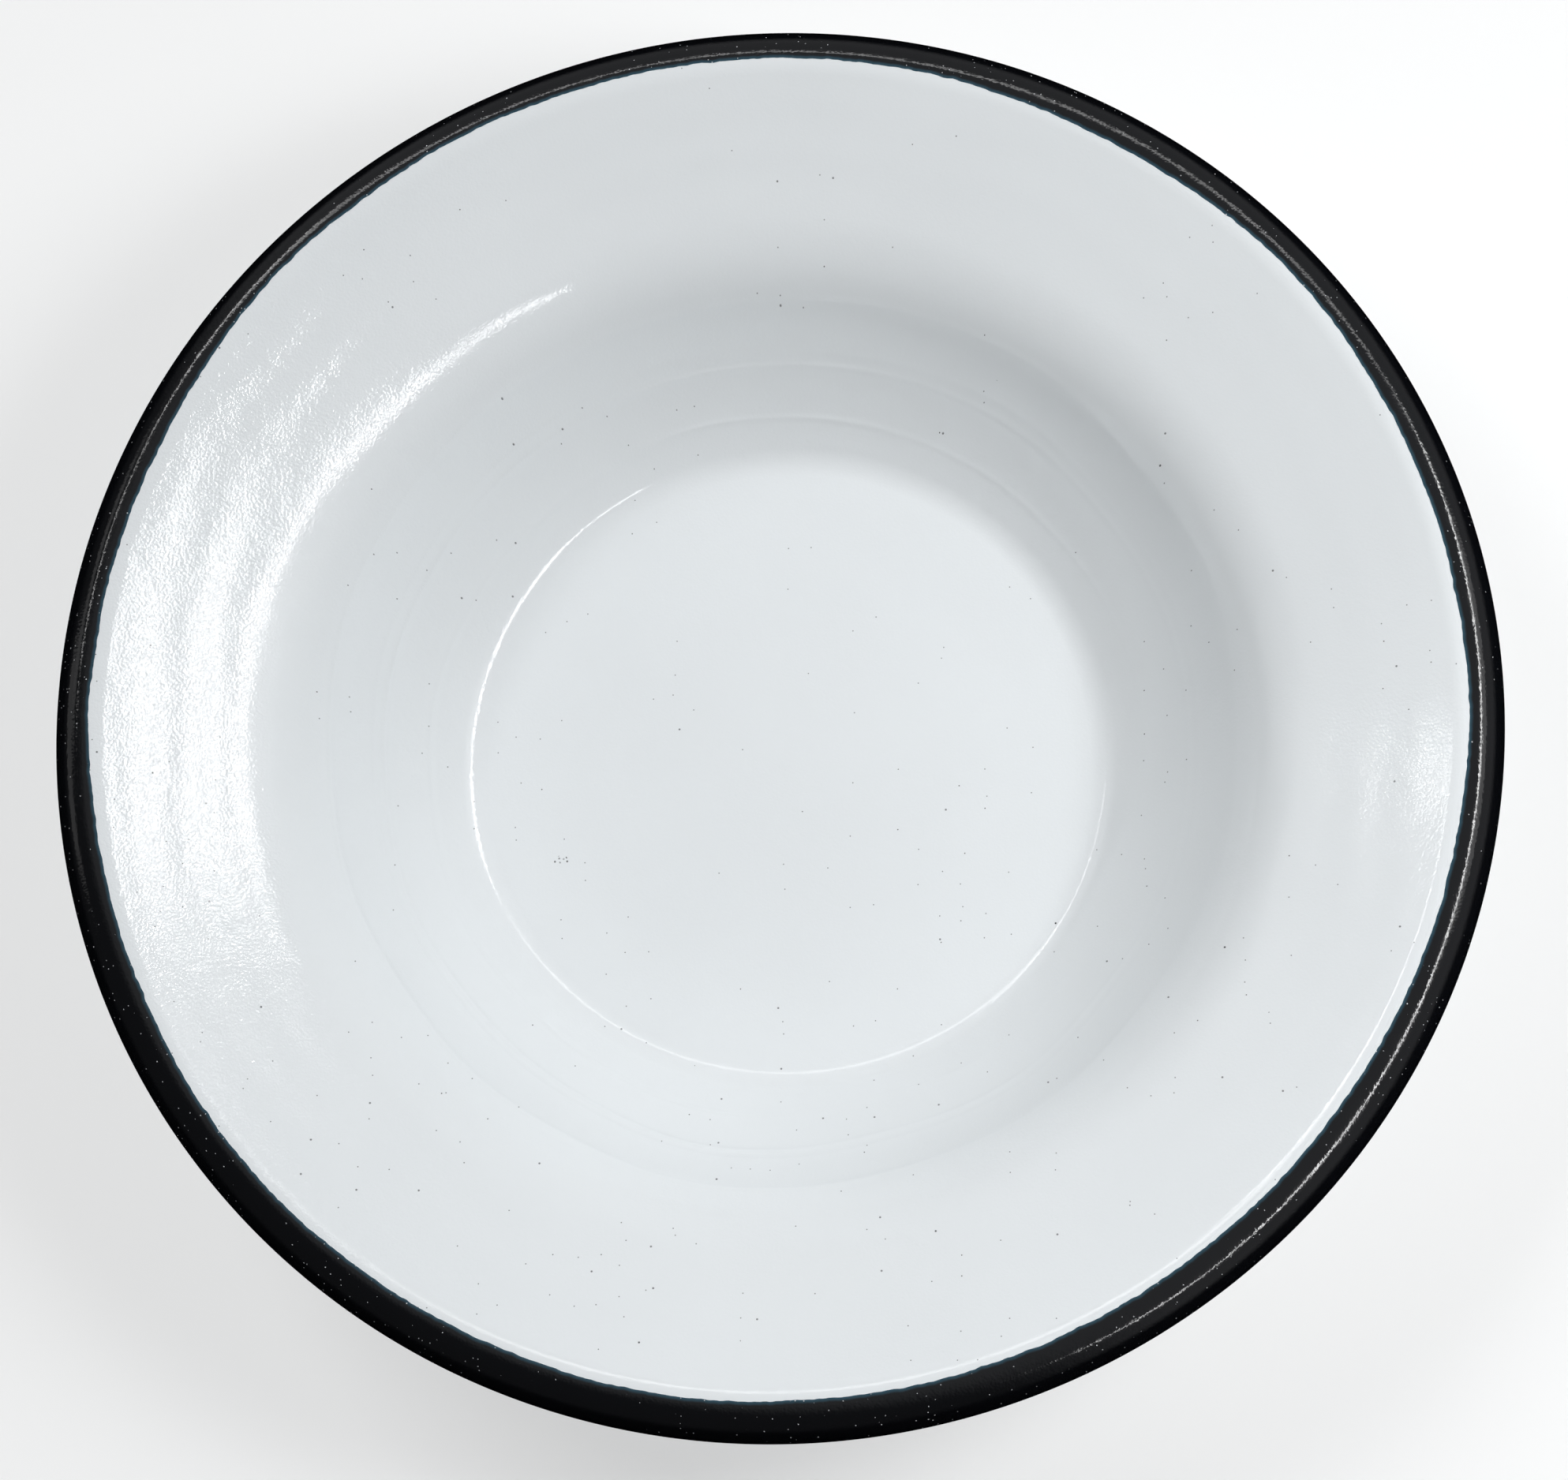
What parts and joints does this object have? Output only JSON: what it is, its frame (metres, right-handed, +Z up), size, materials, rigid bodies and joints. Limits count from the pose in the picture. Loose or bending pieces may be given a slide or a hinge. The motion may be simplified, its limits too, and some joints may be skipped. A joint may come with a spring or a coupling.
{
  "type": "deep dessert plate",
  "caption": "Round deep dessert plate in enamelled steel: flat-floored well, sloping flange and rolled rim with black edging over white enamel.",
  "frame": {"origin": "on the table plane, under the middle of the plate", "axes": "+Z up along the axis of revolution; X and Y are free, because the plate is round"},
  "size_m": [0.18, 0.18, 0.033],
  "materials": {
    "steel": "pickled cold-rolled sheet, hidden under the enamel",
    "ground_enamel": "dark fired ground coat",
    "white_enamel": "glossy fired white enamel with faint orange peel",
    "black_enamel": "glossy fired black enamel"
  },
  "bodies": {
    "root": {"steel_pressing": "steel", "ground_coat_inside": "ground_enamel", "ground_coat_outside": "ground_enamel", "white_enamel_inside": "white_enamel", "white_enamel_outside": "white_enamel", "black_edging": "black_enamel"}
  },
  "joints": []
}
